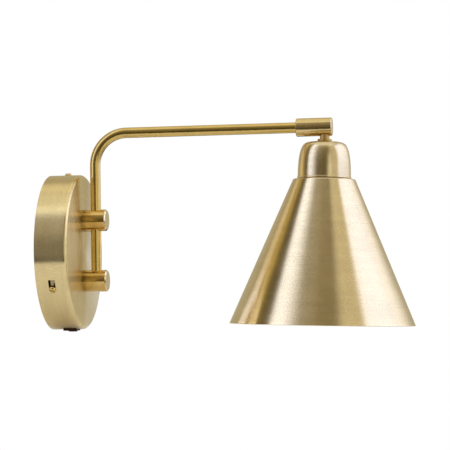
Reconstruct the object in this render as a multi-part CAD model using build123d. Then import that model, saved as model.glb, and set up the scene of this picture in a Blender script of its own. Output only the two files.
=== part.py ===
from build123d import *
import math
import os

os.makedirs("parts", exist_ok=True)

# A swing-arm wall sconce with a hanging metal shade.
# Millimetres. +X points out of the wall and +Z up. The origin is the centre of the back of the
# canopy, on the wall.

# ---- Clearances ---------------------------------------------------------------------------------
running_fit = 0.05       # radial, a shaft turning in its bore
free_gap = 0.3           # between pieces of different bodies, and at a cable's joints
hole_gap = 0.1           # radial, a fixed piece passing through a hole
slip_gap = 0.2           # a fixed piece dropped into a pocket

# ---- Canopy and wall bracket --------------------------------------------------------------------
canopy_dia = 120.0
canopy_depth = 25.0
canopy_wall = 1.2
canopy_edge = 2.5        # radius round the front edge
plate_thick = 1.5
plate_dia = 96.0
tab_width = 17.0
tab_length = 20.0        # from the wall to the tip of each bent tab
tab_notch = 1.2          # from the screw's axis back to the notch beside it
rim_screw_x = 12.3
rim_screw_angles = [89.2, 209.2, 329.2]    # degrees about +X, from +Y towards +Z
rim_screw_dia = 3.0
rim_head_dia = 5.2
rim_head_height = 1.9
rim_screw_length = 4.7   # under the head
keyhole_width = 5.3      # the wide end of each slot, beside its screw
keyhole_neck = 3.4       # the narrow end, under the screw's head
keyhole_near = 1.6       # from the screw's axis to the wide end
keyhole_far = 8.0        # from the screw's axis to the slot's far edge
keyhole_corner = 0.8
wall_slot_spacing = 64.0
wall_slot_width = 5.0
wall_slot_length = 14.0
inlet_dia = 9.0          # bore of the cable bush
inlet_wall = 2.0
inlet_lip = 2.0          # how far the bush's lip overlaps the plate
inlet_z = 29.0

# ---- Posts --------------------------------------------------------------------------------------
post_dia = 16.8
post_length = 18.1       # in front of the canopy
post_spacing = 47.0
post_middle_z = 0.9
post_chamfer = 0.5
shank_dia = 10.0
shank_length = 7.5       # behind the canopy's front face
shank_bore = 6.4
washer_thick = 1.0
washer_dia = 18.0
nut_thick = 3.6
nut_flats = 14.0

# ---- Arm ----------------------------------------------------------------------------------------
tube_dia = 8.2
tube_wall = 1.1
arm_z = 92.1             # the level run's axis above the canopy's centre
arm_bend = 25.0          # radius of the bend's centre line
arm_reach = 180.5        # from the swing axis to the shade's axis
cable_dia = 4.4
cable_bend = 4.5
thrust_thick = 0.6
thrust_rise = 0.1        # from the top of the cable bore to the thrust washer's seat

# ---- Head: sleeve, stem, cap --------------------------------------------------------------------
sleeve_dia = 14.0
sleeve_length = 27.5
sleeve_past = 5.6        # from the shade's axis to the sleeve's closed end
sleeve_edge = 0.5
sleeve_floor = 2.2
sleeve_socket = 11.6     # how far the tube reaches into the sleeve
grub_dia = 3.0
grub_length = 3.2
grub_socket = 1.5
shade_lean = 1.71        # degrees, the hanging shade's lean towards the wall
stem_dia = 7.4
stem_bore = 5.2
stem_top = 4.0           # depths below the sleeve's axis, along the shade's axis
collar_top = 9.4
collar_dia = 11.0
collar_thick = 1.5
cap_top = 11.5
cap_wall = 0.9
cap_crown = 0.3          # how far the flat top falls from its middle to its edge
cap_top_dia = 25.0
cap_shoulder = 14.1
cap_shoulder_dia = 32.9
cap_waist = 24.0
cap_waist_dia = 39.0
cap_dia = 40.7
cap_bead = 1.4
cap_bead_out = 0.4
cap_foot = 39.6
stem_nut_thick = 2.4
stem_nut_flats = 11.0

# ---- Lampholder, bulb and shade -----------------------------------------------------------------
holder_dia = 27.6
holder_top_length = 10.0
holder_flange_dia = 34.0
holder_flange_thick = 2.3
holder_bore_dia = 18.0
holder_end = 54.0
shell_dia = 15.4
shell_wall = 0.4
shell_length = 19.0
contact_height = 1.4
ledge_top = 40.1         # the shade's flat top, just under the cap
shade_top_dia = 47.5
shade_rim_dia = 142.2
shade_height = 111.0
shade_wall = 0.9
shade_shoulder = 1.4
ring_dia = 36.0
ring_height = 5.5
base_dia = 13.9
base_length = 21.0
bulb_dia = 45.0
bulb_neck_dia = 15.6
bulb_wall = 0.8
bulb_end = 103.0         # the bulb's lowest point below the sleeve's axis

# ---- Terminal block and switch ------------------------------------------------------------------
block_width = 26.0
block_height = 18.0
block_depth = 13.0
block_floor_z = -12.0
block_screw_dia = 3.0
block_screw_sink = 2.0
clamp_screw_dia = 3.4
clamp_screw_length = 5.0
clamp_screw_sink = 0.5
screw_slot = [0.7, 0.8]  # width and depth of a driver slot
earth_y = 20.0
earth_z = 16.0
earth_head = 2.4
switch_flange = [10.3, 15.0]
switch_body = [8.4, 13.2]
switch_bezel = 1.0       # how far the flange stands out of the canopy's rim
switch_deep = 12.0
rocker_width = 6.4
rocker_radius = 5.2
rocker_sink = 0.9        # the rocker's valley below its pivot
rocker_wings = 11.0      # degrees between the rocker's two faces
rocker_pin = 1.2
pin_inset = 0.4          # what the housing keeps beyond the end of the pin's hole
lug_length = 4.0
lug_width = 2.8
lug_thick = 0.8
lug_y = 3.5
wire_dia = 2.0
wire_bend = 4.0
wire_height = 5.5        # above the plate
wire_rise = 6.0          # straight up from the lug
wire_shift = 9.0         # height over which it crosses to the block

# ---- Worked out from the sizes above ------------------------------------------------------------
canopy_r = canopy_dia / 2
canopy_in = canopy_r - canopy_wall
face_in = canopy_depth - canopy_wall
switch_x = canopy_depth / 2 + 1.3
swing_x = canopy_depth + post_length / 2
lower_z = post_middle_z - post_spacing / 2
upper_z = post_middle_z + post_spacing / 2
tube_r = tube_dia / 2
tube_in = tube_r - tube_wall
tube_foot = shank_bore / 2 + thrust_rise + thrust_thick
tube_foot_z = lower_z + tube_foot
bore_r = tube_r + running_fit
shade_x = swing_x + arm_reach
sleeve_end = shade_x + sleeve_past
sleeve_start = sleeve_end - sleeve_length
tube_end = sleeve_start + sleeve_socket
cable_x = rim_screw_x - 4.0

pieces = {}


# ---- Helpers ------------------------------------------------------------------------------------
def rod_x(radius, start, end, y=0, z=0):
    """A round bar along X from start to end."""
    return Pos((start + end) / 2, y, z) * Rot(0, 90, 0) * Cylinder(radius, end - start)


def rod_y(radius, start, end, x=0, z=0):
    """A round bar along Y from start to end."""
    return Pos(x, (start + end) / 2, z) * Rot(90, 0, 0) * Cylinder(radius, end - start)


def rod_z(radius, start, end, x=0, y=0):
    """A round bar along Z from start to end."""
    return Pos(x, y, (start + end) / 2) * Cylinder(radius, end - start)


def block(low, high):
    """A box between two opposite corners."""
    middle = [(a + b) / 2 for a, b in zip(low, high)]
    size = [b - a for a, b in zip(low, high)]
    return Pos(*middle) * Box(*size)


def turned(points):
    """A piece turned about the local Z axis; points are (radius, depth below the origin)."""
    outline = Polyline([(radius, 0, -depth) for radius, depth in points], close=True)
    return revolve(make_face(outline), Axis.Z)


def hang(piece):
    """Places a piece of the head, modelled about its own axis, under the sleeve."""
    return Pos(shade_x, 0, arm_z) * Rot(0, shade_lean, 0) * piece


def hex_x(flats, start, end, y=0, z=0):
    """A hexagonal bar along X."""
    outline = RegularPolygon(flats / 2, 6, major_radius=False)
    return Pos(start, y, z) * Rot(0, 90, 0) * extrude(outline, end - start)


def round_wire(points, radii, radius):
    """A round cable along straight runs joined by arcs."""
    path = FilletPolyline(*points, radius=radii)
    start = Plane(origin=path @ 0, z_dir=path % 0)
    cable = sweep(start * Circle(radius), path=path)
    print("cable", round(path.length, 2), "mm, bends", radii, "volume ratio",
          round(cable.volume / (math.pi * radius ** 2 * path.length), 4))
    return cable


def driver_slot(top, y, z):
    """The cut for a screwdriver across a head whose top is at x = top."""
    width, depth = screw_slot
    return block((top - depth, y - 5, z - width / 2), (top + 1, y + 5, z + width / 2))


def about_x(angle, piece):
    """Turns a piece that lies on the +Y side about the X axis."""
    return Rot(angle, 0, 0) * piece


# ---- Wall bracket: steel plate with three tabs that the canopy is screwed to ----------------------
def wall_bracket():
    plate = rod_x(plate_dia / 2, 0, plate_thick)
    for angle in rim_screw_angles:
        ear = block((0, 0, -tab_width / 2), (plate_thick, canopy_r, tab_width / 2))
        tab = block((0, canopy_in - 4, -tab_width / 2), (tab_length, canopy_r, tab_width / 2))
        notch_low = -keyhole_near - rim_screw_dia
        tab -= block((plate_thick * 2, 0, -tab_width), (rim_screw_x - tab_notch, canopy_r, -keyhole_near))
        tab -= block((rim_screw_x + tab_notch, 0, notch_low), (tab_length + 1, canopy_r, -keyhole_near))
        tab -= rod_x(canopy_in - plate_thick, -1, tab_length + 1)
        tab -= rod_y(rim_screw_dia / 2, 0, canopy_r + 1, x=rim_screw_x)
        plate += about_x(angle, ear) + about_x(angle, tab)
    plate &= rod_x(canopy_in, 0, tab_length)
    for side in (-1, 1):
        straight = (wall_slot_length - wall_slot_width) / 2
        slot = block((-1, -straight, -wall_slot_width / 2), (plate_thick + 1, straight, wall_slot_width / 2))
        for end in (-straight, straight):
            slot += rod_x(wall_slot_width / 2, -1, plate_thick + 1, y=end)
        plate -= Pos(0, side * wall_slot_spacing / 2, 0) * slot
    plate -= rod_x(inlet_dia / 2 + inlet_wall, -1, plate_thick + 1, z=inlet_z)
    plate -= rod_x(block_screw_dia / 2, -1, plate_thick + 1, z=block_floor_z + block_height / 2)
    plate -= rod_x(clamp_screw_dia / 2, -1, plate_thick + 1, y=earth_y, z=earth_z)
    return plate


pieces["wall_bracket"] = wall_bracket()

bush_lip = inlet_dia / 2 + inlet_wall + inlet_lip
bush = rod_x(inlet_dia / 2 + inlet_wall, 0, plate_thick, z=inlet_z)
bush += rod_x(bush_lip, plate_thick, plate_thick + inlet_wall, z=inlet_z)
bush = fillet(bush.edges().filter_by(GeomType.CIRCLE).group_by(Axis.X)[-1], inlet_wall / 3)
pieces["cable_bush"] = bush - rod_x(inlet_dia / 2, -1, plate_thick + inlet_wall + 1, z=inlet_z)


# ---- Canopy cover: pressed drum, open at the wall, held by three screws in keyhole slots ----------
def keyhole():
    """The slot for the screw on the +Y side: a narrow neck at the screw and a wide window beside it."""
    half = keyhole_width / 2
    window = block((rim_screw_x - half, canopy_in - 2, -keyhole_far),
                   (rim_screw_x + half, canopy_r + 2, -keyhole_near))
    window = fillet(window.edges().filter_by(Axis.Y), keyhole_corner)
    neck = block((rim_screw_x - keyhole_neck / 2, canopy_in - 2, -keyhole_near - 1),
                 (rim_screw_x + keyhole_neck / 2, canopy_r + 2, 0))
    return window + neck + rod_y(keyhole_neck / 2, canopy_in - 2, canopy_r + 2, x=rim_screw_x)


def canopy_cover():
    drum = rod_x(canopy_r, 0, canopy_depth)
    drum = fillet(drum.edges().group_by(Axis.X)[-1], canopy_edge)
    hollow = rod_x(canopy_in, -1, face_in)
    hollow = fillet(hollow.edges().group_by(Axis.X)[-1], max(canopy_edge - canopy_wall, 0.2))
    drum -= hollow
    for z in (lower_z, upper_z):
        drum -= rod_x(shank_dia / 2 + hole_gap, face_in - 1, canopy_depth + 1, z=z)
    for angle in rim_screw_angles:
        drum -= about_x(angle, keyhole())
    half_x = switch_body[0] / 2 + slip_gap / 2
    half_y = switch_body[1] / 2 + slip_gap / 2
    drum -= block((switch_x - half_x, -half_y, -canopy_r - 1), (switch_x + half_x, half_y, -canopy_in + 2))
    return drum


pieces["canopy_cover"] = canopy_cover()


# ---- Canopy screws: slotted cheese heads outside the drum, threaded into the tabs ----------------
def rim_screw():
    head = rod_y(rim_head_dia / 2, canopy_r, canopy_r + rim_head_height, x=rim_screw_x)
    head = fillet(head.edges().group_by(Axis.Y)[-1], rim_head_height / 4)
    width, depth = screw_slot
    head -= block((rim_screw_x - rim_head_dia, canopy_r + rim_head_height - depth, -width / 2),
                  (rim_screw_x + rim_head_dia, canopy_r + rim_head_height + 1, width / 2))
    return head + rod_y(rim_screw_dia / 2, canopy_r - rim_screw_length, canopy_r, x=rim_screw_x)


for number, angle in enumerate(rim_screw_angles, 1):
    pieces[f"canopy_screw_{number}"] = about_x(angle, rim_screw())


# ---- Posts: solid bars whose threaded shanks pass through the canopy's face ----------------------
def post(z):
    bar = rod_x(post_dia / 2, canopy_depth, canopy_depth + post_length, z=z)
    bar = chamfer(bar.edges().filter_by(GeomType.CIRCLE).group_by(Axis.X)[-1], post_chamfer)
    return bar + rod_x(shank_dia / 2, canopy_depth - shank_length, canopy_depth, z=z)


grub_y = post_dia / 2
upper_post = post(upper_z) - rod_z(bore_r, upper_z - post_dia, upper_z + post_dia, x=swing_x)
upper_post -= rod_y(grub_dia / 2, 0, grub_y, x=swing_x, z=upper_z)
pieces["upper_post"] = upper_post

lower_post = post(lower_z) - rod_z(bore_r, tube_foot_z - thrust_thick, lower_z + post_dia, x=swing_x)
lower_post -= rod_z(shank_bore / 2, lower_z, tube_foot_z, x=swing_x)
lower_post -= rod_x(shank_bore / 2, canopy_depth - shank_length - 1, swing_x, z=lower_z)
lower_post -= Pos(swing_x, 0, lower_z) * Sphere(shank_bore / 2)
pieces["lower_post"] = lower_post

for name, z in (("upper", upper_z), ("lower", lower_z)):
    washer = rod_x(washer_dia / 2, face_in - washer_thick, face_in, z=z)
    pieces[f"{name}_post_washer"] = washer - rod_x(shank_dia / 2 + hole_gap, 0, canopy_depth, z=z)
    nut = hex_x(nut_flats, face_in - washer_thick - nut_thick, face_in - washer_thick, z=z)
    pieces[f"{name}_post_nut"] = nut - rod_x(shank_dia / 2, 0, canopy_depth, z=z)

thrust = rod_z(tube_r, tube_foot_z - thrust_thick, tube_foot_z, x=swing_x)
thrust -= rod_z(tube_in, tube_foot_z - thrust_thick - 1, tube_foot_z + 1, x=swing_x)
pieces["thrust_washer"] = thrust


def grub_screw(start, x, z):
    """A socket set screw along Y whose tip bears on the tube."""
    screw = rod_y(grub_dia / 2, start, start + grub_length, x=x, z=z)
    socket = Rot(90, 0, 0) * extrude(RegularPolygon(grub_socket / 2, 6, major_radius=False), 1.6, both=True)
    return screw - Pos(x, start + grub_length, z) * socket


pieces["arm_friction_screw"] = grub_screw(tube_r + running_fit, swing_x, upper_z)

# ---- Terminal block, its screws, and the earth screw ---------------------------------------------
block_top = plate_thick + block_depth
poles = [-block_width / 3, 0.0, block_width / 3]
rows = [block_floor_z + block_height * 0.2, block_floor_z + block_height * 0.8]
clamp_low = block_top - clamp_screw_length - clamp_screw_sink
terminal_block = block((plate_thick, -block_width / 2, block_floor_z),
                       (block_top, block_width / 2, block_floor_z + block_height))
terminal_block = fillet(terminal_block.edges().filter_by(Axis.Z), 1.5)
for y in poles:
    clamp_hole = rod_x(clamp_screw_dia / 2, clamp_low, block_top + 1, y=y)
    for z in rows:
        terminal_block -= Pos(0, 0, z) * clamp_hole
block_screw_z = block_floor_z + block_height / 2
head_foot = block_top - block_screw_sink
terminal_block -= rod_x(block_screw_dia / 2, 0, block_top + 1, z=block_screw_z)
terminal_block -= rod_x(block_screw_dia, head_foot, block_top + 1, z=block_screw_z)
pieces["terminal_block"] = terminal_block

number = 0
for y in poles:
    for z in rows:
        number += 1
        screw = rod_x(clamp_screw_dia / 2, clamp_low, block_top - clamp_screw_sink, y=y, z=z)
        pieces[f"clamp_screw_{number}"] = screw - driver_slot(block_top - clamp_screw_sink, y, z)

block_screw = rod_x(block_screw_dia / 2, slip_gap, head_foot, z=block_screw_z)
block_screw += rod_x(block_screw_dia - slip_gap, head_foot, block_top - slip_gap, z=block_screw_z)
pieces["block_screw"] = block_screw - driver_slot(block_top - slip_gap, 0, block_screw_z)

earth = rod_x(clamp_screw_dia, plate_thick, plate_thick + earth_head, y=earth_y, z=earth_z)
earth = fillet(earth.edges().filter_by(GeomType.CIRCLE).group_by(Axis.X)[-1], earth_head / 4)
earth += rod_x(clamp_screw_dia / 2, slip_gap, plate_thick, y=earth_y, z=earth_z)
pieces["earth_screw"] = earth - driver_slot(plate_thick + earth_head, earth_y, earth_z)

# ---- Cables: canopy lead, arm cable and head cable meet at the two turning joints ----------------
cable_r = cable_dia / 2
pieces["canopy_cable"] = round_wire(
    [(cable_x, 0, block_floor_z), (cable_x, 0, lower_z), (swing_x, 0, lower_z), (swing_x, 0, tube_foot_z)],
    [cable_bend, tube_foot - 0.05], cable_r)

# ---- Rocker switch under the canopy: housing with its flange against the rim ---------------------
pivot_z = -canopy_r
bezel_z = -canopy_r - switch_bezel
housing_top = -canopy_in + switch_deep


def switch_housing():
    flange = block((switch_x - switch_flange[0] / 2, -switch_flange[1] / 2, bezel_z),
                   (switch_x + switch_flange[0] / 2, switch_flange[1] / 2, -canopy_in))
    flange = fillet(flange.edges().filter_by(Axis.Z), 1.0)
    flange = fillet(flange.edges().group_by(Axis.Z)[0], switch_bezel / 3)
    flange -= rod_x(canopy_r, -canopy_depth, canopy_depth * 2)
    body = block((switch_x - switch_body[0] / 2, -switch_body[1] / 2, -canopy_r),
                 (switch_x + switch_body[0] / 2, switch_body[1] / 2, housing_top))
    neck = block((switch_x - switch_body[0] / 2, -switch_body[1] / 2, bezel_z + switch_bezel / 2),
                 (switch_x + switch_body[0] / 2, switch_body[1] / 2, -canopy_r + 1))
    well = block((switch_x - rocker_width / 2 - free_gap, -rocker_radius - free_gap, bezel_z - 1),
                 (switch_x + rocker_width / 2 + free_gap, rocker_radius + free_gap,
                  pivot_z + rocker_radius + free_gap))
    housing = flange + body + neck - well
    pin_half = switch_body[0] / 2 - pin_inset
    return housing - rod_x(rocker_pin / 2 + running_fit, switch_x - pin_half, switch_x + pin_half, z=pivot_z)


pieces["switch_housing"] = switch_housing()


def switch_rocker():
    wedge = math.radians(rocker_wings)
    reach = rocker_radius * 2
    valley = pivot_z - rocker_sink
    side = Polyline((-reach, valley), (0, valley), (reach, valley - reach * math.tan(wedge)),
                    (reach, pivot_z + 1.6), (-reach, pivot_z + 1.6), close=True)
    profile = Plane.YZ * (make_face(side) & Pos(0, pivot_z) * Circle(rocker_radius))
    rocker = Pos(switch_x, 0, 0) * extrude(profile, rocker_width / 2, both=True)
    pin_half = switch_body[0] / 2 - pin_inset - 0.1
    return rocker + rod_x(rocker_pin / 2, switch_x - pin_half, switch_x + pin_half, z=pivot_z)


pieces["switch_rocker"] = switch_rocker()

wire_r = wire_dia / 2
wire_x = plate_thick + wire_height
lug_top = housing_top + lug_length
for number, side in ((1, -1), (2, 1)):
    pieces[f"switch_lug_{number}"] = block(
        (switch_x - lug_width / 2, side * lug_y - lug_thick / 2, housing_top),
        (switch_x + lug_width / 2, side * lug_y + lug_thick / 2, lug_top))
    wire_y = side * block_width / 3
    pieces[f"switch_wire_{number}"] = round_wire(
        [(switch_x, side * lug_y, lug_top), (switch_x, side * lug_y, lug_top + wire_rise),
         (wire_x, wire_y, lug_top + wire_rise + wire_shift), (wire_x, wire_y, block_floor_z)],
        [wire_bend, wire_bend], wire_r)


# ---- Arm: one bent tube that turns in both posts --------------------------------------------------
def arm_tube():
    corner = (swing_x, 0, arm_z)
    path = FilletPolyline((swing_x, 0, tube_foot_z), corner, (tube_end, 0, arm_z), radius=arm_bend)
    foot = Plane(origin=path @ 0, z_dir=path % 0)
    return sweep(foot * (Circle(tube_r) - Circle(tube_in)), path=path)


pieces["arm_tube"] = arm_tube()
pieces["arm_cable"] = round_wire(
    [(swing_x, 0, tube_foot_z + free_gap), (swing_x, 0, arm_z), (tube_end, 0, arm_z)], [arm_bend], cable_r)


# ---- Sleeve: turned bar, bored for the tube from the left and closed at its right end -------------
def head_sleeve():
    bar = rod_x(sleeve_dia / 2, sleeve_start, sleeve_end, z=arm_z)
    bar = chamfer(bar.edges().filter_by(GeomType.CIRCLE), sleeve_edge)
    bar -= rod_x(bore_r, sleeve_start - 1, tube_end + free_gap, z=arm_z)
    bar -= rod_x(tube_in + 0.4, sleeve_start, sleeve_end - sleeve_floor, z=arm_z)
    bar -= rod_y(grub_dia / 2, 0, sleeve_dia, x=grub_x, z=arm_z)
    return bar - hang(rod_z(stem_dia / 2, -sleeve_dia, 0))


grub_x = sleeve_start + sleeve_socket / 2
pieces["head_sleeve"] = head_sleeve()
pieces["sleeve_friction_screw"] = grub_screw(tube_r + running_fit, grub_x, arm_z)

# ---- Stem and collar: hollow threaded stem with a turned collar on the cap ------------------------
nut_top = cap_top + cap_wall + cap_crown
holder_top = nut_top + stem_nut_thick
stem_end = holder_top + holder_top_length / 2
stem = turned([(stem_bore / 2, stem_top), (stem_dia / 2, stem_top),
               (stem_dia / 2, stem_end), (stem_bore / 2, stem_end)])
pieces["head_stem"] = hang(stem)

collar_r = collar_dia / 2
collar = turned([(stem_dia / 2, collar_top), (collar_r - 0.3, collar_top), (collar_r, collar_top + 0.3),
                 (collar_r, collar_top + collar_thick - 0.3), (collar_r - 0.4, collar_top + collar_thick),
                 (collar_r - 0.4, cap_top), (stem_dia / 2, cap_top)])
pieces["stem_collar"] = hang(collar)


# ---- Socket cap: spun bell that hides the lampholder's top ----------------------------------------
def cap_outline(inset):
    """The bell's outline from its top to its foot, moved inwards by inset."""
    top = cap_top + inset
    rim = cap_top_dia / 2 - inset * 0.6
    shoulder = (cap_shoulder_dia / 2 - inset, -cap_shoulder - inset * 0.5)
    waist = (cap_waist_dia / 2 - inset, -cap_waist)
    foot = (cap_dia / 2 - inset, -cap_foot)
    corner = Spline((rim, -top - cap_crown), shoulder, tangents=[(1, -0.15), (0.42, -1)])
    side = Spline(shoulder, waist, foot, tangents=[(0.42, -1), (0, -1)])
    return [corner, side]


def bell(inset, hole):
    """A solid bell of revolution down to the cap's foot."""
    corner, side = cap_outline(inset)
    top = -cap_top - inset
    ends = Polyline(side @ 1, (hole, -cap_foot), (hole, top), corner @ 0)
    return revolve(Plane.XZ * make_face(Wire([corner, side, *ends.edges()])), Axis.Z)


def socket_cap():
    cap = bell(0, stem_dia / 2) - bell(cap_wall, 0)
    cap_r = cap_dia / 2
    bead_r = cap_r + cap_bead_out
    bead = turned([(cap_r - cap_wall, cap_foot - cap_bead), (cap_r, cap_foot - cap_bead),
                   (bead_r, cap_foot - cap_bead * 0.75), (bead_r, cap_foot - cap_bead * 0.25),
                   (cap_r, cap_foot), (cap_r - cap_wall, cap_foot)])
    return cap + bead


pieces["socket_cap"] = hang(socket_cap())

stem_nut = extrude(RegularPolygon(stem_nut_flats / 2, 6, major_radius=False), stem_nut_thick)
stem_nut -= rod_z(stem_dia / 2, -1, stem_nut_thick + 1)
pieces["stem_nut"] = hang(Pos(0, 0, -holder_top) * stem_nut)

# ---- Lampholder: moulded top and body, threaded shell and centre contact --------------------------
holder_r = holder_dia / 2
joint = holder_top + holder_top_length
top_wall = 2.0
cover_in = holder_r - top_wall
cover_floor = holder_top + top_wall
holder_cover = turned([(stem_dia / 2, holder_top), (holder_r - 2.5, holder_top),
                       (holder_r, holder_top + 2.5), (holder_r, joint), (cover_in, joint),
                       (cover_in, cover_floor + 2), (stem_dia / 2 + top_wall, cover_floor),
                       (stem_dia / 2, cover_floor)])
pieces["lampholder_top"] = hang(holder_cover)

flange_top = ledge_top - holder_flange_thick
flange_r = holder_flange_dia / 2
floor_depth = joint + 3.0
shell_r = shell_dia / 2
shell_top = floor_depth + 1.5
shell_end = shell_top + shell_length
holder_body = turned([(0, joint), (holder_r, joint), (holder_r, flange_top), (flange_r, flange_top),
                      (flange_r, ledge_top), (holder_r, ledge_top), (holder_r, holder_end),
                      (holder_bore_dia / 2, holder_end), (holder_bore_dia / 2, shell_end),
                      (shell_r, shell_end), (shell_r, floor_depth), (0, floor_depth)])
pieces["lampholder_body"] = hang(holder_body)

shell_lip = shell_r + 0.8
shell = turned([(shell_r - shell_wall, shell_top), (shell_r, shell_top), (shell_r, shell_end),
                (shell_lip, shell_end), (shell_lip, shell_end + shell_wall),
                (shell_r - shell_wall, shell_end + shell_wall)])
pieces["lampholder_shell"] = hang(shell)
contact_end = floor_depth + contact_height
contact = turned([(0, floor_depth), (4.0, floor_depth), (4.0, floor_depth + 0.5),
                  (2.0, contact_end), (0, contact_end)])
pieces["lampholder_contact"] = hang(contact)


# ---- Shade: spun cone clamped by its top flange ---------------------------------------------------
def shade_cone():
    slope = (shade_rim_dia - shade_top_dia) / 2 / shade_height
    across = shade_wall * math.sqrt(1 + slope ** 2)
    rim = ledge_top + shade_height
    hole = holder_r + hole_gap
    inner_top = ledge_top + shade_wall
    inner_r = shade_top_dia / 2 - across + slope * shade_wall
    cone = turned([(hole, ledge_top), (shade_top_dia / 2, ledge_top), (shade_rim_dia / 2, rim),
                   (shade_rim_dia / 2 - across, rim), (inner_r, inner_top), (hole, inner_top)])
    circles = cone.edges().filter_by(GeomType.CIRCLE)
    corner = [edge for edge in circles if abs(edge.radius - shade_top_dia / 2) < 0.01]
    return fillet(corner, shade_shoulder)


pieces["shade_cone"] = hang(shade_cone())

ring_top = ledge_top + shade_wall
ring = turned([(holder_r, ring_top), (ring_dia / 2, ring_top), (ring_dia / 2, ring_top + ring_height - 1),
               (ring_dia / 2 - 1, ring_top + ring_height), (holder_r, ring_top + ring_height)])
for step in range(24):
    groove = rod_z(0.5, -ring_top - ring_height - 1, -ring_top + 1, x=ring_dia / 2 + 0.2)
    ring -= Rot(0, 0, step * 15) * groove
pieces["shade_ring"] = hang(ring)

# ---- Bulb: screw base and round glass -------------------------------------------------------------
base_r = base_dia / 2
base_top = floor_depth + contact_height
base_end = base_top + base_length
bulb_base = turned([(0, base_top), (2.2, base_top), (2.6, base_top + 1.2), (base_r - 1.2, base_top + 2.6),
                    (base_r, base_top + 3.2), (base_r, base_end - 1.5), (bulb_neck_dia / 2, base_end),
                    (0, base_end)])
pieces["bulb_base"] = hang(bulb_base)


def bulb_glass():
    radius = bulb_dia / 2
    centre = bulb_end - radius
    neck = bulb_neck_dia / 2
    shoulder = (radius * 0.8, -centre + radius * 0.6)
    flare = Spline((neck, -holder_end), shoulder, tangents=[(0.15, -1), (0.6, -0.8)])
    ball = ThreePointArc(flare @ 1, (radius, -centre), (0, -bulb_end))
    edge = Polyline((0, -bulb_end), (0, -base_end), (neck, -base_end), (neck, -holder_end))
    outside = revolve(Plane.XZ * make_face(Wire([flare, ball, *edge.edges()])), Axis.Z)
    hollow = Pos(0, 0, -centre) * Sphere(radius - bulb_wall)
    hollow += rod_z(neck - bulb_wall, -centre, -base_end - bulb_wall)
    return outside - hollow


pieces["bulb_glass"] = hang(bulb_glass())


def head_cable():
    """From the tube's end along the sleeve, down the stem to the lampholder."""
    lean = math.tan(math.radians(shade_lean))
    drop = (joint - 0.05) * math.cos(math.radians(shade_lean))
    end = (shade_x - drop * lean, 0, arm_z - drop)
    return round_wire([(tube_end + free_gap, 0, arm_z), (shade_x, 0, arm_z), end], [cable_bend], cable_r)


pieces["head_cable"] = head_cable()

for name, piece in pieces.items():
    export_step(piece, f"parts/{name}.step")
    box = piece.bounding_box()
    print(name, [round(value, 2) for value in (*box.min, *box.max)])
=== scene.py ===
import bpy
import math
import numpy as np
from mathutils import Matrix, Vector
from mathutils.geometry import interpolate_bezier


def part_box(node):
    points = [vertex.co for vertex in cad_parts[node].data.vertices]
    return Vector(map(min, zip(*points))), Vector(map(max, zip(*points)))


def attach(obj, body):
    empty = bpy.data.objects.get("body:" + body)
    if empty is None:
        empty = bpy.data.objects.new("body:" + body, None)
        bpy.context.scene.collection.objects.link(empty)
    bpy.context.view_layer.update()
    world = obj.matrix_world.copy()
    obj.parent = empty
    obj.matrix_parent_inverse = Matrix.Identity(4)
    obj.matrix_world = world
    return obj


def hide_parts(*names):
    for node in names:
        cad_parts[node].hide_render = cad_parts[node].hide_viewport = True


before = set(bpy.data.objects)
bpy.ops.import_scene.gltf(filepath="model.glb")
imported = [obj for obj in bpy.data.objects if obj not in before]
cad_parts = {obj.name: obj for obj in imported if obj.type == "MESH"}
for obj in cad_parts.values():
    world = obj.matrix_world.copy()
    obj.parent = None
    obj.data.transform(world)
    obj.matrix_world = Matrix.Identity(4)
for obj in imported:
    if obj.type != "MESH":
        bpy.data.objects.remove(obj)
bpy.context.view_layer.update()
mm = 0.001


# ---- Camera -------------------------------------------------------------------------------------
# A long lens, level with the middle of the lamp and a little towards its free end, as the
# photograph has it. The slight roll and shift set the lamp in the frame as it is there. Its angles
# are in radians.
camera_target = Vector((130, 0, 20)) * mm
camera_distance = 1541 * mm
camera_azimuth = 0.1711
camera_elevation = -0.0414
camera_roll = -0.0149
camera_data = bpy.data.cameras.new("camera")
camera_data.sensor_width = 36
camera_data.lens = 160
camera_data.shift_x = 0.01704
camera_data.shift_y = -0.00349
camera = bpy.data.objects.new("camera", camera_data)
bpy.context.scene.collection.objects.link(camera)
turn = Matrix.Rotation(camera_azimuth, 4, "Z") @ Matrix.Rotation(math.pi / 2 - camera_elevation, 4, "X")
stand = Matrix.Translation(camera_target) @ turn @ Matrix.Translation((0, 0, camera_distance))
camera.matrix_world = stand @ Matrix.Rotation(camera_roll, 4, "Z")
bpy.context.scene.camera = camera
bpy.context.scene.view_settings.view_transform = "Standard"


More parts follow.
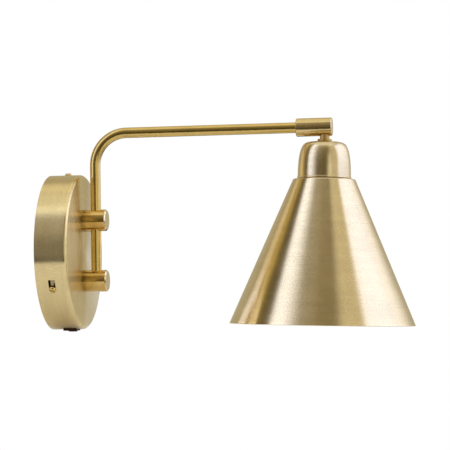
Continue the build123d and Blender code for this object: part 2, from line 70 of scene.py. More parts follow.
# ---- Studio -------------------------------------------------------------------------------------
# A pale floor and a warm dim room, lit by a broad window to the right, tall strips to the left, a
# strip and a lit wall in front and a bright ceiling, with a white board just below the lamp. The
# background is white, and reflections meet that white only straight behind the lamp.
class Wire:
    """An output of a node. Numbers and wires combine through Math nodes."""

    def __init__(self, tree, socket=None):
        self.tree = tree
        self.socket = socket

    def node(self, kind, settings, values, out=0):
        """Adds a node: its settings first, then the values or wires of its sockets."""
        made = self.tree.nodes.new(kind)
        for name, value in settings.items():
            setattr(made, name, value)
        for name, value in values.items():
            if isinstance(value, Wire):
                self.tree.links.new(value.socket, made.inputs[name])
            else:
                made.inputs[name].default_value = value
        return Wire(self.tree, made.outputs[out])

    def into(self, shader, name):
        """Feeds one of a shader's sockets."""
        self.tree.links.new(self.socket, shader.inputs[name])

    def maths(self, operation, *others):
        return self.node("ShaderNodeMath", {"operation": operation}, dict(enumerate([self, *others])))

    def __add__(self, other):
        return self.maths("ADD", other)

    __radd__ = __add__

    def __sub__(self, other):
        return self.maths("SUBTRACT", other)

    def __rsub__(self, other):
        return self * -1 + other

    def __mul__(self, other):
        return self.maths("MULTIPLY", other)

    __rmul__ = __mul__

    def rise(self, low, high):
        """0 below low, 1 above high, and a smooth rise between."""
        values = {"Value": self, "From Min": low, "From Max": high}
        return self.node("ShaderNodeMapRange", {"interpolation_type": "SMOOTHSTEP"}, values)

    def band(self, start, low, high, end):
        """1 between low and high, falling to 0 at start and end."""
        return self.rise(start, low) - self.rise(high, end)

    def parts(self):
        """The three numbers of a vector."""
        return [self.node("ShaderNodeSeparateXYZ", {}, {0: self}, out=axis) for axis in range(3)]

    def vector(self, operation, *others, out=0):
        values = dict(enumerate([self, *others]))
        return self.node("ShaderNodeVectorMath", {"operation": operation}, values, out)

    def scaled(self, factor):
        """This colour or vector times a number."""
        return self.node("ShaderNodeVectorMath", {"operation": "SCALE"}, {0: self, "Scale": factor})

    def noise(self, scale, detail):
        """Noise at the places that this vector gives."""
        values = {"Vector": self, "Scale": scale, "Detail": detail}
        return self.node("ShaderNodeTexNoise", {}, values)

    def mixed(self, low, high):
        """The colour low where this is 0, high where it is 1."""
        settings = {"data_type": "RGBA"}
        low, high = [(*colour, 1) if isinstance(colour, tuple) else colour for colour in (low, high)]
        return self.node("ShaderNodeMix", settings, {"Factor": self, 6: low, 7: high}, out=2)


all_round = (-181, -180, 180, 181)
lights = [  # name, azimuths and elevations in degrees where each starts, is full and ends, colour
    ("window right", (66, 75, 104, 168), (-60, 30, 44, 57), (1.26, 1.37, 1.85)),
    ("strip left", (-73, -67, -58, -22), (-20, -2, 52, 66), (1.10, 1.21, 1.64)),
    ("strip back left", (-128, -117, -111, -99), (-30, -14, 45, 65), (0.62, 0.53, 0.36)),
    ("amber edge", (-111, -102, -98, -88), (-30, -14, 45, 65), (0.40, 0.28, 0.06)),
    ("strip front", (15, 28, 33, 41), (-20, -2, 8, 32), (0.70, 0.70, 0.61)),
    ("wall right", (23, 44, 68, 76), (-20, -2, 52, 72), (0.54, 0.49, 0.36)),
    ("glow front left", (-78, -62, -26, 8), (6, 34, 60, 75), (0.22, 0.21, 0.20)),
    ("glow front", (-20, 0, 20, 35), (8, 40, 60, 75), (0.10, 0.075, 0.035)),
    ("ceiling", all_round, (50, 64, 91, 92), (0.44, 0.41, 0.35)),
    ("ceiling front", (-135, -100, 100, 135), (46, 62, 91, 92), (0.30, 0.32, 0.32)),
]
room = (0.135, 0.108, 0.05)
low_room = (0.05, 0.04, 0.02)
low_room_top = (-16, -2)          # elevations where it starts to lighten and where it has
backdrop = (0.50, 0.445, 0.31)
backdrop_sides = (112, 135)       # azimuths, either way, where it starts and where it is full
backdrop_foot = (-12, -2)
behind_lamp = (-180, -177, -164, -161)
behind_levels = (-8, -5, 10, 13)


def studio_world():
    world = bpy.data.worlds.new("studio")
    bpy.context.scene.world = world
    world.use_nodes = True
    tree = world.node_tree
    tree.nodes.clear()
    start = Wire(tree)
    x, y, z = start.node("ShaderNodeTexCoord", {}, {}, out="Generated").parts()
    azimuth = x.maths("ARCTAN2", y * -1) * math.degrees(1)
    elevation = z.maths("ARCSINE") * math.degrees(1)
    beside = azimuth.maths("ABSOLUTE")
    colour = elevation.rise(*low_room_top).mixed(low_room, room)
    colour = (beside.rise(*backdrop_sides) * elevation.rise(*backdrop_foot)).mixed(colour, backdrop)
    dark = (0.0, 0.0, 0.0)
    for _, sides, levels, tint in lights:
        shown = azimuth.band(*sides) * elevation.band(*levels)
        colour = colour.vector("ADD", shown.mixed(dark, tint))
    seen, mirrored, through = [start.node("ShaderNodeLightPath", {}, {}, out=f"Is {kind} Ray")
                               for kind in ("Camera", "Glossy", "Transmission")]
    behind = azimuth.band(*behind_lamp) * elevation.band(*behind_levels)
    shown = (seen + (mirrored + through) * behind).mixed(colour, (1.0, 1.0, 1.0))
    light = start.node("ShaderNodeBackground", {}, {"Color": shown, "Strength": 1.0})
    output = tree.nodes.new("ShaderNodeOutputWorld")
    tree.links.new(light.socket, output.inputs["Surface"])


studio_world()


def material(name):
    """A new material, its Principled shader and the wire of its object coordinates."""
    made = bpy.data.materials.new(name)
    made.use_nodes = True
    tree = made.node_tree
    place = Wire(tree).node("ShaderNodeTexCoord", {}, {}, out="Object")
    return made, tree.nodes["Principled BSDF"], place


def pale_paint(name, glow, rays):
    """Matt white paint, a little mottled; glow is what one kind of ray sees it add to the light on it."""
    made, shader, place = material(name)
    place.noise(3.0, 2.0).mixed((0.90, 0.90, 0.89), (0.93, 0.93, 0.92)).into(shader, "Base Color")
    shader.inputs["Roughness"].default_value = 0.8
    seen = place.node("ShaderNodeLightPath", {}, {}, out=rays)
    seen.mixed((0.0, 0.0, 0.0), (glow, glow, glow)).into(shader, "Emission Color")
    shader.inputs["Emission Strength"].default_value = 1.0
    return made


def level_board(name, low, high, height, finish):
    """A flat rectangle of the studio between two corners, at a height."""
    mesh = bpy.data.meshes.new(name)
    corners = [(low[0], low[1]), (high[0], low[1]), (high[0], high[1]), (low[0], high[1])]
    mesh.from_pydata([(x, y, height) for x, y in corners], [], [(0, 1, 2, 3)])
    mesh.materials.append(finish)
    board = bpy.data.objects.new(name, mesh)
    bpy.context.scene.collection.objects.link(board)
    return board


floor_half = 1200 * mm
floor_z = -900 * mm
floor_paint = pale_paint("pale floor", 0.5, "Is Camera Ray")
level_board("floor", (-floor_half, -floor_half), (floor_half, floor_half), floor_z, floor_paint)
board_low = (-250 * mm, -245 * mm)
board_high = (600 * mm, 120 * mm)
board_z = -63.5 * mm
board_paint = pale_paint("white board", 0.10, "Is Glossy Ray")
board = level_board("bounce_board", board_low, board_high, board_z, board_paint)
board.visible_camera = False
board.visible_diffuse = False
board.visible_shadow = False
board.visible_transmission = False


# ---- Wall bracket -------------------------------------------------------------------------------
# A disc of steel sheet with three bent tabs for the canopy's screws and two slots for the wall's,
# zinc plated and passivated yellow. A rubber bush lines the hole that the supply cable comes in by.
def dress(finish, *nodes):
    """Gives CAD nodes, whose shape is right, their material."""
    for node in nodes:
        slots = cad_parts[node].data.materials
        slots.clear()
        slots.append(finish)


def plain(name, colours, roughness, metallic, scale, relief, others=()):
    """A plain finish that drifts between two colours, with a fine relief and a few rubbed spots.

    Others are pairs of a socket of the shader and its value."""
    made, shader, place = material(name)
    cloud = place.noise(scale, 4.0)
    grain = place.noise(scale * 14, 2.0)
    rubbed = place.noise(scale * 3, 6.0).rise(0.62, 0.72)
    shade = cloud.rise(0.35, 0.65).mixed(*colours)
    lighter = tuple(min(part * 1.15 + 0.01, 1) for part in colours[1])
    (rubbed * 0.5).mixed(shade, lighter).into(shader, "Base Color")
    rough = roughness + (cloud - 0.5) * 0.15 + (grain - 0.5) * 0.1 - rubbed * 0.06
    rough.into(shader, "Roughness")
    bump = place.node("ShaderNodeBump", {}, {"Height": grain, "Strength": relief, "Distance": 0.05 * mm})
    bump.into(shader, "Normal")
    for socket, value in (("Metallic", metallic), *others):
        shader.inputs[socket].default_value = value
    return made


yellow_zinc = plain("yellow zinc", [(0.45, 0.35, 0.16), (0.39, 0.33, 0.19)], 0.36, 1.0, 60, 0.2)
dress(yellow_zinc, "wall_bracket")
rubber = plain("black rubber", [(0.018, 0.018, 0.018), (0.03, 0.03, 0.03)], 0.7, 0.0, 60, 0.3)
dress(rubber, "cable_bush")


# ---- Terminal block -----------------------------------------------------------------------------
# A block of natural nylon with six clamp screws, held to the bracket by one screw through its
# middle. The earth wire goes under a brass screw in the bracket itself.
nylon = plain("natural nylon", [(0.76, 0.75, 0.69), (0.83, 0.82, 0.77)], 0.48, 0.0, 60, 0.2)
dress(nylon, "terminal_block")
bright_zinc = plain("bright zinc", [(0.56, 0.57, 0.58), (0.66, 0.67, 0.68)], 0.32, 1.0, 80, 0.15)
dress(bright_zinc, "block_screw", *[f"clamp_screw_{number}" for number in range(1, 7)])
contact_brass = plain("stamped brass", [(0.70, 0.52, 0.24), (0.78, 0.62, 0.32)], 0.30, 1.0, 90, 0.1)
dress(contact_brass, "earth_screw")


# ---- Cables -------------------------------------------------------------------------------------
# A soft round cable in a dark sheath, which comes from the terminal block through the lower post
# and the arm to the lampholder. It twists where the arm and the shade turn.
sheath = plain("dark cable sheath", [(0.08, 0.07, 0.06), (0.12, 0.11, 0.10)], 0.55, 0.0, 60, 0.3)
dress(sheath, "canopy_cable", "arm_cable", "head_cable")


# ---- Canopy cover -------------------------------------------------------------------------------
# A drum pressed and spun from brass sheet, closed in front and open at the wall, brushed round its
# rim and lacquered satin. It drops over the bracket and its keyhole slots go under three screws.
def outline(corners, arc_steps=8):
    """The points of a closed outline in (radius, height), each with its normal before and after.

    A corner is (radius, height), and if it is rounded, its radius; "smooth" gives it one normal."""
    spots = [Vector(corner[:2]) for corner in corners]
    if sum(a.cross(b) for a, b in zip(spots, spots[1:] + spots[:1])) < 0:
        spots.reverse()
        corners = corners[::-1]
    points = []
    for number, corner in enumerate(corners):
        here = spots[number]
        before = here - spots[number - 1]
        after = spots[(number + 1) % len(spots)] - here
        first, last = [Vector((way.y, -way.x)).normalized() for way in (before, after)]
        rule = corner[2] if len(corner) > 2 else None
        if rule == "smooth":
            middle = (first * after.length + last * before.length).normalized()
            points.append((here, middle, middle))
        elif rule:
            swing = math.atan2(before.cross(after), before.dot(after))
            side = math.copysign(1, swing)
            foot = here - before.normalized() * rule * math.tan(abs(swing) / 2)
            centre = foot - first * rule * side
            for step in range(arc_steps + 1):
                normal = Matrix.Rotation(swing * step / arc_steps, 2) @ first
                points.append((centre + normal * rule * side, normal, normal))
        else:
            points.append((here, first, last))
    return points


on_axis = 1e-4 * mm      # a point nearer the axis than this is on it


def turned(name, points, steps=192):
    """A piece turned about its own Z from an outline's points."""
    mesh = bpy.data.meshes.new(name)
    spots, faces, rings = [], [], []
    for point, _, _ in points:
        count = 1 if point.x < on_axis else steps
        rings.append(range(len(spots), len(spots) + count))
        for step in range(count):
            angle = math.tau * step / steps
            spots.append((point.x * math.cos(angle), point.x * math.sin(angle), point.y))
    for low, high in zip(rings, rings[1:] + rings[:1]):
        if len(low) == len(high) == 1:
            continue
        for step in range(steps):
            ahead = (step + 1) % steps
            corners = ((low, step), (low, ahead), (high, ahead), (high, step))
            face = [ring[number % len(ring)] for ring, number in corners]
            faces.append(tuple(dict.fromkeys(face)))
    mesh.from_pydata(spots, [], faces)
    true_normals(mesh, points)
    piece = bpy.data.objects.new(name, mesh)
    bpy.context.scene.collection.objects.link(piece)
    return piece


same_place = 0.3 * mm    # how far a face may lie from the stretch of outline that it belongs to
same_way = 0.9           # how nearly it must face as that stretch does
sharp = 0.02             # an edge is sharp where the two sides' normals differ by more


def true_normals(mesh, points):
    """Gives a turned mesh, cut or not, the exact normals of its outline; a cut's walls stay flat."""
    starts = np.array([point for point, _, _ in points])
    ways = np.roll(starts, -1, 0) - starts
    leave = np.array([normal for _, _, normal in points])
    arrive = np.roll(np.array([normal for _, normal, _ in points]), -1, 0)
    long = np.maximum((ways ** 2).sum(1), 1e-16)
    normals = []
    corner_normals = {}
    for face in mesh.polygons:
        centre = np.array((math.hypot(face.center.x, face.center.y), face.center.z))
        facing = face.normal
        lean = (facing.x * face.center.x + facing.y * face.center.y) / max(centre[0], 1e-9)
        share = np.clip(((centre - starts) * ways).sum(1) / long, 0, 1)
        away = np.hypot(*(centre - starts - ways * share[:, None]).T)
        agree = ((leave + arrive) / 2 * (lean, facing.z)).sum(1)
        best = int(np.argmin(away + (agree < same_way)))
        for corner in face.vertices:
            spot = mesh.vertices[corner].co
            normal = facing
            if agree[best] > same_way and away[best] < same_place:
                radius = math.hypot(spot.x, spot.y)
                t = float(np.clip(((radius, spot.z) - starts[best]) @ ways[best] / long[best], 0, 1))
                across, along = leave[best] * (1 - t) + arrive[best] * t
                around = Vector((spot.x, spot.y, 0)) / radius if radius > on_axis else Vector((0, 0, 0))
                normal = (around * across + Vector((0, 0, along))).normalized()
            normals.append(normal)
            corner_normals[face.index, corner] = normal
    sides = {}
    for face in mesh.polygons:
        for key in face.edge_keys:
            sides.setdefault(key, []).append(face.index)
    for edge in mesh.edges:
        pair = sides.get(edge.key, [])
        ends = [[corner_normals[face, corner] for corner in edge.vertices] for face in pair]
        edge.use_edge_sharp = len(pair) == 2 and any((a - b).length > sharp for a, b in zip(*ends))
    mesh.normals_split_custom_set(normals)


def cutter(radius, low, high, place):
    """A round bar about the Z of place, from low to high, to cut with."""
    tool = turned("cutter", outline([(0, low), (radius, low), (radius, high), (0, high)]), 64)
    tool.matrix_world = place
    return tool


def box_cutter(low, high, place):
    """A box between two corners in place, to cut with."""
    spots = [[(low, high)[pick][axis] for axis, pick in enumerate(picks)] for picks in np.ndindex(2, 2, 2)]
    faces = [(0, 1, 3, 2), (4, 6, 7, 5), (0, 4, 5, 1), (2, 3, 7, 6), (0, 2, 6, 4), (1, 5, 7, 3)]
    mesh = bpy.data.meshes.new("cutter")
    mesh.from_pydata(spots, [], faces)
    tool = bpy.data.objects.new("cutter", mesh)
    bpy.context.scene.collection.objects.link(tool)
    tool.matrix_world = place
    return tool


def cut(piece, points, tools):
    """Takes the tools out of a turned piece and gives it back its outline's normals."""
    for tool in tools:
        knife = piece.modifiers.new("cut", "BOOLEAN")
        knife.object = tool
        knife.solver = "EXACT"
    bpy.context.view_layer.update()
    solved = piece.evaluated_get(bpy.context.evaluated_depsgraph_get())
    mesh = bpy.data.meshes.new_from_object(solved)
    piece.modifiers.clear()
    piece.data = mesh
    for tool in tools:
        bpy.data.objects.remove(tool)
    true_normals(mesh, points)


def along_x(x, y=0, z=0):
    """Stands a turned piece on its side, so that its Z points out of the wall."""
    return Matrix.Translation((x, y, z)) @ Matrix.Rotation(math.pi / 2, 4, "Y")


def brass(name, colour, roughness, stretch, worn, lean=0.0, rings=(), painted_light_patches=()):
    """Satin brass with turned grain about the piece's own Z, or about that axis leant by an angle.

    It is rubbed bright where height plus radius, in millimetres, goes from worn[0] to worn[1], and
    has a faint ring at each of the heights in rings. A patch of (direction, start, full, colour) is
    painted light, a painted highlight or painted shade in the base colour; it sets in from start to
    full, in millimetres."""
    made, shader, place = material(name)
    settings = {"rotation_type": "Y_AXIS"}
    place = place.node("ShaderNodeVectorRotate", settings, {"Vector": place, "Angle": -lean})
    _, _, z = place.parts()
    flat = place.vector("MULTIPLY", (1, 1, 0))
    turn_x, turn_y, _ = flat.vector("NORMALIZE").parts()
    level = (z + flat.vector("LENGTH", out="Value")) * 1000

    def lines(turns, per_mm, detail):
        """Noise drawn out into lines round the piece."""
        values = {0: turn_x * turns, 1: turn_y * turns, 2: level * per_mm}
        return place.node("ShaderNodeCombineXYZ", {}, values).noise(1.0, detail)

    fine = lines(2, 3.5, 3.0)
    broad = lines(1.5, 0.35, 4.0)
    cloud = place.noise(45.0, 3.0)
    grit = place.noise(1500.0, 1.0)
    darker = tuple(part * 0.93 for part in colour)
    lighter = tuple(min(part * 1.03, 1) for part in colour)
    bright = tuple(min(part * 1.12, 1) for part in colour)
    tone = (fine * 0.3 + broad * 0.35 + cloud * 0.35).rise(0.38, 0.62)
    rubbed = level.rise(*worn) * cloud.rise(0.3, 0.6)
    shade = (rubbed * 0.6).mixed(tone.mixed(darker, lighter), bright)
    ring = 0.0
    for height in rings:
        ring = (z * 1000 + broad).band(height, height + 0.3, height + 0.7, height + 1.1) + ring
    if rings:
        shade = (ring * 0.14).mixed(shade, tuple(part * 0.7 for part in colour))
    # Painted light: each patch paints a highlight or a shade into the base colour.
    for direction, begin, full, tint in painted_light_patches:
        along = place.vector("DOT_PRODUCT", direction, out="Value") * 1000
        shade = along.rise(begin, full).mixed(shade, tint)
    shade.scaled(1 + (grit - 0.5) * 0.6).into(shader, "Base Color")
    rough = roughness + (fine - 0.5) * 0.06 + (cloud - 0.5) * 0.06 - rubbed * 0.04
    rough.into(shader, "Roughness")
    values = {"Height": fine * 0.7 + broad * 0.3 - ring * 0.5, "Strength": 0.05, "Distance": 0.02 * mm}
    place.node("ShaderNodeBump", {}, values).into(shader, "Normal")
    shader.inputs["Metallic"].default_value = 1.0
    shader.inputs["Anisotropic"].default_value = stretch
    shader.inputs["Anisotropic Rotation"].default_value = 0.25
    return made


def fit(piece, body, slot, finish, *nodes):
    """Puts a finished piece on its body, in place of its CAD nodes."""
    piece.data.materials.clear()
    piece.data.materials.append(finish)
    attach(piece, body)
    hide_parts(*nodes)


satin = (0.80, 0.66, 0.36)
_, canopy_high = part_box("canopy_cover")
canopy_radius = canopy_high.y
canopy_depth = canopy_high.x
sheet = 1.2 * mm
canopy_edge = 2.5 * mm
canopy_points = outline([
    (canopy_radius - sheet, 0), (canopy_radius, 0), (canopy_radius, canopy_depth, canopy_edge),
    (0, canopy_depth), (0, canopy_depth - sheet),
    (canopy_radius - sheet, canopy_depth - sheet, canopy_edge - sheet)])
canopy = turned("canopy_cover", canopy_points, 256)
canopy.matrix_world = along_x(0)
screw_x = 12.3 * mm
keyhole_width = 5.3 * mm
keyhole_neck = 3.4 * mm
keyhole_near = 1.6 * mm
keyhole_far = 8.0 * mm
post_heights = [(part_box(node)[0].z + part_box(node)[1].z) / 2 for node in ("lower_post", "upper_post")]
shank_radius = 5 * mm
shank_hole = shank_radius + 0.1 * mm
spare = 2 * mm           # how far a cutter runs on past a surface
tools = [cutter(shank_hole, -sheet - spare, spare, along_x(canopy_depth, 0, z)) for z in post_heights]
screws = ["canopy_screw_1", "canopy_screw_2", "canopy_screw_3"]


def slant_to(node):
    """The turn about X that brings +Y round to a canopy screw."""
    low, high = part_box(node)
    middle = (low + high) / 2
    return Matrix.Rotation(math.atan2(middle.z, middle.y), 4, "X")


inner = canopy_radius - sheet - spare
outer = canopy_radius + spare
for node in screws:
    slant = slant_to(node)
    half = keyhole_width / 2
    window = [(screw_x - half, inner, -keyhole_far), (screw_x + half, outer, -keyhole_near)]
    half = keyhole_neck / 2
    neck = [(screw_x - half, inner, -keyhole_near - 1 * mm), (screw_x + half, outer, 0)]
    tools += [box_cutter(*window, slant), box_cutter(*neck, slant)]
    across = Matrix.Translation((screw_x, 0, 0)) @ Matrix.Rotation(-math.pi / 2, 4, "X")
    tools.append(cutter(half, inner, outer, slant @ across))
low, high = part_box("switch_lug_1")
switch_x = (low.x + high.x) / 2
switch_half_x = 4.3 * mm
switch_half_y = 6.7 * mm
well = [(switch_x - switch_half_x, -switch_half_y, -outer), (switch_x + switch_half_x, switch_half_y, -inner)]
tools.append(box_cutter(*well, Matrix.Identity(4)))
cut(canopy, canopy_points, tools)
# Painted highlight: a paler brass painted over the canopy's side towards +Y.
canopy_painted_highlight = [((0.15, 1, 0), -2, 14, (0.90, 0.83, 0.68))]
canopy_brass = brass("canopy satin brass", satin, 0.25, 0.93, (81.5, 83.0), painted_light_patches=canopy_painted_highlight)
fit(canopy, "wall_side", "satin_brass", canopy_brass, "canopy_cover")


# ---- Canopy screws ------------------------------------------------------------------------------
# Three small pan-head screws of solid brass with a straight slot, driven through the drum's
# keyhole slots into the bracket's tabs. Each stopped at its own angle.
def thread(radius, depth, pitch, start, end):
    """The corners of a thread along a shank, its ridges as plain rings."""
    count = round((end - start) / pitch)
    corners = []
    for ridge in range(count):
        low = start + (end - start) * ridge / count
        corners += [(radius - depth, low), (radius, low + (end - start) / count / 2)]
    return corners + [(radius - depth, end)]


def polished_brass(name, colour, roughness):
    """Polished brass with a little unevenness and faint wear."""
    made, shader, place = material(name)
    cloud = place.noise(60.0, 2.0)
    grit = place.noise(900.0, 2.0)
    rubbed = place.noise(150.0, 6.0).rise(0.6, 0.7)
    shade = cloud.rise(0.35, 0.65).mixed(tuple(part * 0.93 for part in colour), colour)
    brighter = tuple(min(part * 1.06, 1) for part in colour)
    (rubbed * 0.4).mixed(shade, brighter).into(shader, "Base Color")
    rough = roughness + (cloud - 0.5) * 0.06 + (grit - 0.5) * 0.015
    rough.into(shader, "Roughness")
    bump = place.node("ShaderNodeBump", {}, {"Height": cloud, "Strength": 0.04, "Distance": 0.1 * mm})
    bump.into(shader, "Normal")
    shader.inputs["Metallic"].default_value = 1.0
    return made


screw_brass = polished_brass("screw brass", (0.70, 0.52, 0.18), 0.16)
screw_shank = 1.5 * mm
screw_length = 4.7 * mm
screw_head = 2.6 * mm
head_side = 0.5 * mm
head_dome = [(2.35, 1.05), (1.75, 1.55), (0.9, 1.83), (0, 1.9)]     # radius and height in millimetres
slot_half = 0.35 * mm
slot_floor = 1.05 * mm
screw_turns = (98, 162, -25)        # degrees
rim_thread = thread(screw_shank, 0.25 * mm, 0.5 * mm, -screw_length, -0.7 * mm)
dome = [(radius * mm, height * mm, "smooth") for radius, height in head_dome]
screw_outline = outline([
    (0, -screw_length), *rim_thread, (screw_shank, -0.5 * mm), (screw_shank, 0), (screw_head, 0),
    (screw_head, head_side, 0.1 * mm), *dome])
for node, turn in zip(screws, screw_turns):
    outwards = Matrix.Translation((screw_x, canopy_radius, 0)) @ Matrix.Rotation(-math.pi / 2, 4, "X")
    screw = turned(node, screw_outline, 64)
    screw.matrix_world = slant_to(node) @ outwards @ Matrix.Rotation(math.radians(turn), 4, "Z")
    slot = [(-3 * mm, -slot_half, slot_floor), (3 * mm, slot_half, 3 * mm)]
    cut(screw, screw_outline, [box_cutter(*slot, screw.matrix_world)])
    fit(screw, "wall_side", "satin_brass", screw_brass, node)


# ---- Switch -------------------------------------------------------------------------------------
# A small rocker switch moulded in dark plastic, snapped into the drum's underside with its flange
# against the brass. Two stamped brass tabs behind it take the leads from the terminal block.
moulded_colours = [(0.045, 0.014, 0.007), (0.06, 0.022, 0.012)]
moulded_gloss = [("Specular IOR Level", 0.15)]
moulded = plain("dark moulded plastic", moulded_colours, 0.6, 0.0, 90, 0.3, moulded_gloss)
dress(moulded, "switch_housing", "switch_rocker")
dress(contact_brass, "switch_lug_1", "switch_lug_2")
dress(sheath, "switch_wire_1", "switch_wire_2")


# ---- Posts --------------------------------------------------------------------------------------
# Two solid bars turned from brass and bored crosswise for the arm, each screwed to the canopy's
# front by a threaded shank and a nut behind it. Their ends are faced flat, with a small chamfer.
post_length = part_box("upper_post")[1].x - canopy_depth
post_tip = post_length / mm
post_gold = (0.72, 0.50, 0.175)
# Painted shade: darker brass at each post's foot, where it meets the canopy.
post_foot_painted_shade = (0.43, 0.30, 0.105)
# Painted highlight: paler brass on each post's faced end and chamfer.
post_tip_painted_highlight = (0.86, 0.75, 0.55)
post_painted_light = [((0, 0, 1), 4.5, 0, post_foot_painted_shade), ((0, 0, 1), post_tip - 0.8, post_tip - 0.3, post_tip_painted_highlight)]
post_brass = brass("post turned brass", post_gold, 0.16, 0.5, (25.2, 26.0), painted_light_patches=post_painted_light)
post_edge = 1.0 * mm
edge_round = 0.15 * mm
arm_low, arm_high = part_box("arm_tube")
swing_x = (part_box("thrust_washer")[0].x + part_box("thrust_washer")[1].x) / 2
tube_radius = (arm_high.y - arm_low.y) / 2
post_bore = tube_radius + 0.1 * mm
through = 20 * mm
bore_starts = (3.3 * mm, -through)      # the lower bore ends at the washer that the arm stands on
for node, z, bore_start in zip(("lower_post", "upper_post"), post_heights, bore_starts):
    low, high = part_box(node)
    radius = high.y
    shank_end = low.x - canopy_depth
    points = outline([
        (0, shank_end), (shank_radius, shank_end), (shank_radius, 0), (radius, 0),
        (radius, post_length - post_edge, edge_round), (radius - post_edge, post_length, edge_round),
        (0, post_length)], 4)
    post = turned(node, points)
    post.matrix_world = along_x(canopy_depth, 0, z)
    upright = Matrix.Translation((swing_x, 0, z))
    cut(post, points, [cutter(post_bore, bore_start, through, upright)])
    fit(post, "wall_side", "satin_brass", post_brass, node)
dress(bright_zinc, "upper_post_washer", "lower_post_washer", "upper_post_nut", "lower_post_nut",
      "arm_friction_screw")
dress(nylon, "thrust_washer")


# ---- Arm ----------------------------------------------------------------------------------------
# One brass tube, polished and lacquered, bent through a right angle on a former. Its upright leg
# turns in the two posts and its level leg carries the shade.
def bent_tube(name, path, radius, wall, steps=48):
    """A tube along a path of (place, direction) in the plane y = 0, with its bore and its two ends."""
    mesh = bpy.data.meshes.new(name)
    spots, faces, normals = [], [], []
    side = Vector((0, 1, 0))
    for reach in (radius, radius - wall):
        for place, way in path:
            up = side.cross(way).normalized()
            for step in range(steps):
                angle = math.tau * step / steps
                normal = side * math.cos(angle) + up * math.sin(angle)
                spots.append(place + normal * reach)
                normals.append(normal if reach == radius else -normal)
    ring = len(path) * steps
    for row in range(len(path) - 1):
        for step in range(steps):
            a = row * steps + step
            b = row * steps + (step + 1) % steps
            faces.append((a, a + steps, b + steps, b))
            faces.append((a + ring, b + ring, b + ring + steps, a + ring + steps))
    for row, flip in ((0, True), (len(path) - 1, False)):
        for step in range(steps):
            a = row * steps + step
            b = row * steps + (step + 1) % steps
            face = (a, b, b + ring, a + ring)
            faces.append(face if flip else face[::-1])
    mesh.from_pydata(spots, [], faces)
    count = (len(path) - 1) * steps * 2
    for face in mesh.polygons:
        face.use_smooth = face.index < count
    ends = [face.edge_keys for face in mesh.polygons if face.index >= count]
    hard = {key for keys in ends for key in keys}
    for edge in mesh.edges:
        edge.use_edge_sharp = edge.key in hard
    corner_normals = []
    for face in mesh.polygons:
        for corner in face.vertices:
            corner_normals.append(normals[corner] if face.use_smooth else face.normal)
    mesh.normals_split_custom_set(corner_normals)
    piece = bpy.data.objects.new(name, mesh)
    bpy.context.scene.collection.objects.link(piece)
    return piece


arm_axis_z = arm_high.z - tube_radius
arm_bend = 25 * mm
tube_wall = 1.1 * mm
bend_middle = Vector((swing_x + arm_bend, 0, arm_axis_z - arm_bend))
arm_path = [(Vector((swing_x, 0, arm_low.z)), Vector((0, 0, 1)))]
bend_steps = 32
for step in range(bend_steps + 1):
    angle = math.radians(90) * step / bend_steps
    place = bend_middle + Vector((-math.cos(angle), 0, math.sin(angle))) * arm_bend
    arm_path.append((place, Vector((math.sin(angle), 0, math.cos(angle)))))
arm_path.append((Vector((arm_high.x, 0, arm_axis_z)), Vector((1, 0, 0))))
arm = bent_tube("arm_tube", arm_path, tube_radius, tube_wall)
arm_brass = polished_brass("arm polished brass", (0.73, 0.535, 0.19), 0.21)
fit(arm, "arm", "satin_brass", arm_brass, "arm_tube")


# ---- Sleeve -------------------------------------------------------------------------------------
# A bar turned from brass, bored from its wall end to slide over the arm and closed at its free
# end. It turns on the arm, held by a set screw at the back, and the shade's stem screws in below.
sleeve_low, sleeve_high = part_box("head_sleeve")
sleeve_radius = (sleeve_high.y - sleeve_low.y) / 2
sleeve_length = sleeve_high.x - sleeve_low.x
sleeve_edge = 0.4 * mm
bore = tube_radius + 0.05 * mm
bore_depth = arm_high.x - sleeve_low.x + 0.3 * mm
hollow = bore - 0.7 * mm                # past the tube's end, where the cable turns down
hollow_depth = sleeve_length - 2.2 * mm
sleeve_points = outline([
    (bore, 0), (sleeve_radius - sleeve_edge, 0, edge_round), (sleeve_radius, sleeve_edge, edge_round),
    (sleeve_radius, sleeve_length - sleeve_edge, edge_round),
    (sleeve_radius - sleeve_edge, sleeve_length, edge_round), (0, sleeve_length),
    (0, hollow_depth), (hollow, hollow_depth), (hollow, bore_depth), (bore, bore_depth)], 4)
sleeve = turned("head_sleeve", sleeve_points)
sleeve.matrix_world = along_x(sleeve_low.x, 0, arm_axis_z)
shade_x = sleeve_high.x - 5.6 * mm
shade_lean = math.radians(1.71)
hang = Matrix.Translation((shade_x, 0, arm_axis_z)) @ Matrix.Rotation(shade_lean, 4, "Y")
stem_radius = 3.7 * mm
grub_radius = 1.5 * mm
grub_x = sleeve_low.x + 5.8 * mm
grub = Matrix.Translation((grub_x, 0, arm_axis_z)) @ Matrix.Rotation(-math.pi / 2, 4, "X")
cut(sleeve, sleeve_points, [cutter(stem_radius, -12 * mm, 0, hang), cutter(grub_radius, 0, 10 * mm, grub)])
sleeve_tip = sleeve_length / mm
# Painted highlight: paler brass on the sleeve's free end.
sleeve_painted_highlight = [((0, 0, 1), sleeve_tip - 0.35, sleeve_tip - 0.15, (0.92, 0.80, 0.57))]
sleeve_gold = (0.77, 0.60, 0.29)
sleeve_brass = brass("sleeve turned brass", sleeve_gold, 0.25, 0.6, (33.2, 34.0), painted_light_patches=sleeve_painted_highlight)
fit(sleeve, "head", "satin_brass", sleeve_brass, "head_sleeve")
dress(bright_zinc, "sleeve_friction_screw")


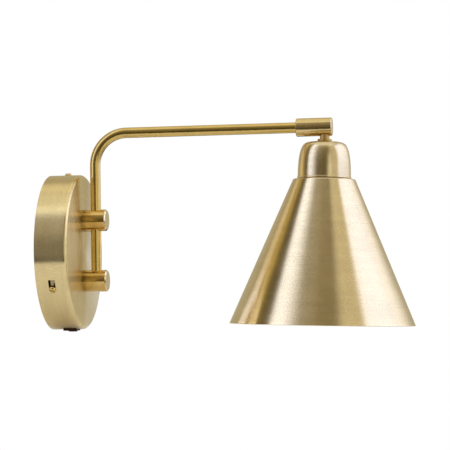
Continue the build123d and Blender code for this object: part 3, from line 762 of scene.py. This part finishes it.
# ---- Stem ---------------------------------------------------------------------------------------
# A short hollow brass stem screwed up into the sleeve, with a turned collar that seats on the cap.
# A nut under the cap draws them together, and the cable passes through.
# Painted shade: the stem and collar are a darker brass than the arm, for the shade under the sleeve.
stem_brass_painted_shade = polished_brass("stem brass", (0.68, 0.475, 0.18), 0.5)
dress(stem_brass_painted_shade, "head_stem", "stem_collar")
dress(bright_zinc, "stem_nut")


# ---- Cap ----------------------------------------------------------------------------------------
# A small bell spun from brass that hides the lampholder, held down by the stem's nut inside it,
# with a rolled bead round its foot.
def hung(name, points):
    """A turned piece of the shade, leant as it hangs below the sleeve."""
    piece = turned(name, points, 256)
    piece.data.transform(Matrix.Rotation(shade_lean, 4, "Y"))
    piece.location = (shade_x, 0, arm_axis_z)
    return piece


def curve(spans, steps=10):
    """Points along joined Bezier spans, each of four (radius, depth) pairs in millimetres."""
    run = []
    for span in spans:
        spots = interpolate_bezier(*[Vector((radius, -depth)) * mm for radius, depth in span], steps)
        run += spots[1:] if run else spots
    return run


def inward(run, wall):
    """The same run moved into the piece by its wall."""
    moved = []
    for number, spot in enumerate(run):
        way = (run[min(number + 1, len(run) - 1)] - run[max(number - 1, 0)]).normalized()
        moved.append(spot + Vector((way.y, -way.x)) * wall)
    return moved


def smooth(run):
    """A run's points as the corners of an outline, all but its ends smooth."""
    return [(spot.x, spot.y, "smooth") if 0 < number < len(run) - 1 else (spot.x, spot.y)
            for number, spot in enumerate(run)]


cap_wall = 0.9 * mm
bell = curve([
    ((3.7, 11.5), (6.5, 11.5), (9.5, 11.5), (12.3, 11.8)),
    ((12.3, 11.8), (14.2, 12.2), (15.6, 12.9), (16.6, 14.2)),
    ((16.6, 14.2), (18.6, 17.2), (20.35, 23.5), (20.35, 38.2))])
inside = inward(bell, cap_wall)
bead = [(20.35, 38.2, 0.1), (20.75, 38.55, 0.3), (20.75, 39.25, 0.3), (20.35, 39.6, 0.1), (19.5, 39.6)]
cap_corners = smooth(bell)[:-1]
cap_corners += [(radius * mm, -depth * mm, *[size * mm for size in rest]) for radius, depth, *rest in bead]
cap_corners += smooth(inside)[::-1]
cap = hung("socket_cap", outline(cap_corners, 5))
spun = (0.79, 0.665, 0.43)
cap_brass = brass("cap spun brass", spun, 0.25, 0.6, (-17.5, -18.5), shade_lean)
fit(cap, "head", "satin_brass", cap_brass, "socket_cap")


# ---- Lampholder ---------------------------------------------------------------------------------
# A black moulded holder for a small screw bulb: a cover, and a body whose flange carries the shade,
# with a threaded shell and a sprung contact stamped from brass inside.
thermoset = plain("black moulded holder", [(0.024, 0.024, 0.024), (0.036, 0.035, 0.034)], 0.36, 0.0, 70, 0.25)
dress(thermoset, "lampholder_top", "lampholder_body")
dress(contact_brass, "lampholder_shell", "lampholder_contact")


# ---- Shade --------------------------------------------------------------------------------------
# A cone spun from brass sheet over a former, with a flat top that is clamped to the lampholder and
# a bare rim. The spinning leaves fine rings; it is lacquered satin outside and plain inside.
shade_rim_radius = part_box("shade_cone")[1].y
shade_top_radius = 23.75 * mm
shade_hole = 13.9 * mm
ledge = -40.1 * mm
shade_height = 111 * mm
shade_sheet = 0.9 * mm
shade_wall = 0.98 * mm                  # the same sheet, measured level through its slope
slope = (shade_rim_radius - shade_top_radius) / shade_height
rim_z = ledge - shade_height
rim_round = 0.3 * mm
inner_top = shade_top_radius - shade_wall + slope * shade_sheet
shade_points = outline([
    (shade_hole, ledge), (shade_top_radius, ledge, 1.4 * mm), (shade_rim_radius, rim_z, rim_round),
    (shade_rim_radius - shade_wall, rim_z, rim_round), (inner_top, ledge - shade_sheet, 0.6 * mm),
    (shade_hole, ledge - shade_sheet)])
shade = hung("shade_cone", shade_points)
shade_rings = (-74, -100.5, -134.5)
shade_brass = brass("shade spun brass", spun, 0.19, 0.82, (-78.5, -79.5), shade_lean, shade_rings)
fit(shade, "head", "satin_brass", shade_brass, "shade_cone")


# ---- Shade ring ---------------------------------------------------------------------------------
# A black moulded ring, grooved for the fingers, that screws up the holder inside the shade and
# clamps the shade's flat top against the holder's flange.
dress(thermoset, "shade_ring")


# ---- Bulb ---------------------------------------------------------------------------------------
# A round bulb of opal glass on a nickel-plated screw base, turned up into the holder.
nickel = plain("nickel plate", [(0.66, 0.65, 0.63), (0.74, 0.73, 0.71)], 0.26, 1.0, 60, 0.1)
base_thread = thread(6.95, 0.5, 2.8, -48.5, -32.7)
base_tip = [(0, -29.5), (2.2, -29.5), (2.6, -30.7), (5.8, -32.1, 0.5)]
base_corners = [*base_tip, *base_thread[::-1], (7.8, -50.5), (0, -50.5)]
bulb_base = hung("bulb_base", outline([[size * mm for size in corner] for corner in base_corners], 4))
fit(bulb_base, "head", "nickel", nickel, "bulb_base")
opal_coat = [("Coat Weight", 0.5), ("Coat Roughness", 0.04)]
opal = plain("opal glass", [(0.91, 0.91, 0.88), (0.93, 0.93, 0.91)], 0.14, 0.0, 20, 0.02, opal_coat)
dress(opal, "bulb_glass")
